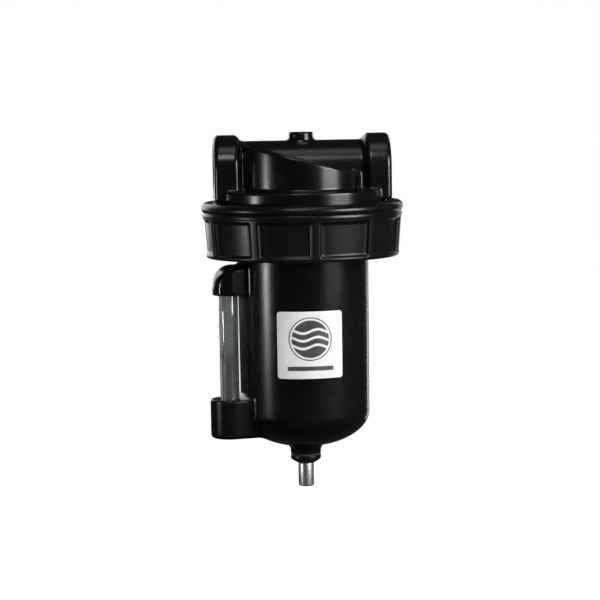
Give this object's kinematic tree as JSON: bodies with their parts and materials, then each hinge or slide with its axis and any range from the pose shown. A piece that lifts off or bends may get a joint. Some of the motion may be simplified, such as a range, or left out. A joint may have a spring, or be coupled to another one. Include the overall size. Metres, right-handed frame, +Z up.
{
  "type": "compressed air filter",
  "caption": "Compressed air filter with in-line pipe ports, a threaded clamp ring, a round metal bowl with a side sight glass, a vaned inner element stack and a twist drain.",
  "frame": {"origin": "where the line through the two ports crosses the bowl's axis", "axes": "+X along the port line, from the inlet to the outlet; +Z up the bowl's axis; -Y is the front, with the label"},
  "size_m": [0.1334, 0.1334, 0.2358],
  "materials": {
    "black_paint": "semi-gloss black enamel on a zinc die casting",
    "black_nylon": "satin black glass-filled nylon",
    "white_plastic": "plain moulded acetal",
    "white_element": "sintered porous plastic, matt and granular",
    "rubber": "black nitrile rubber",
    "dark_fibre": "vulcanised dark fibre",
    "zinc_steel": "zinc-plated steel",
    "nickel_plate": "dull nickel plate on turned brass",
    "sight_glass": "clear tube",
    "label_film": "satin film label, light grey"
  },
  "bodies": {
    "head": {"head_body": "black_paint", "tie_rod": "zinc_steel", "louver_gasket": "rubber", "louver": "white_plastic", "element_gasket_top": "rubber", "filter_element": "white_element", "element_gasket_bottom": "rubber", "baffle": "white_plastic", "baffle_washer": "zinc_steel", "baffle_nut": "zinc_steel"},
    "bowl_body": {"bowl": "black_paint", "bowl_oring": "rubber", "sight_tube": "sight_glass", "sight_seal_top": "rubber", "sight_seal_bottom": "rubber", "label": "label_film", "drain_washer": "dark_fibre", "drain_gland": "black_nylon"},
    "ring_body": {"clamp_ring": "black_nylon"},
    "seal_body": {"drain_seal": "rubber"},
    "stem_body": {"drain_stem": "nickel_plate", "stem_oring": "rubber"}
  },
  "joints": [
    {"name": "bowl_drop", "type": "slide", "parent": "head", "child": "bowl_body", "axis": [0, 0, -1], "range_m": [0, 0.0159]},
    {"name": "ring_turn", "type": "hinge", "parent": "bowl_body", "child": "ring_body", "pos_m": [0, 0, -0.041], "axis": [0, 0, -1], "range_deg": [0, 900]},
    {"name": "seal_drop", "type": "slide", "parent": "bowl_body", "child": "seal_body", "axis": [0, 0, -1], "range_m": [0, 0.0025]},
    {"name": "drain_turn", "type": "hinge", "parent": "seal_body", "child": "stem_body", "pos_m": [0, 0, -0.2], "axis": [0, 0, -1], "range_deg": [0, 720]}
  ],
  "couplings": [
    {"joint": "bowl_drop", "follows": "ring_turn", "m_per_rad": 0.0010106},
    {"joint": "drain_turn", "follows": "seal_drop", "rad_per_m": 5026.5}
  ]
}
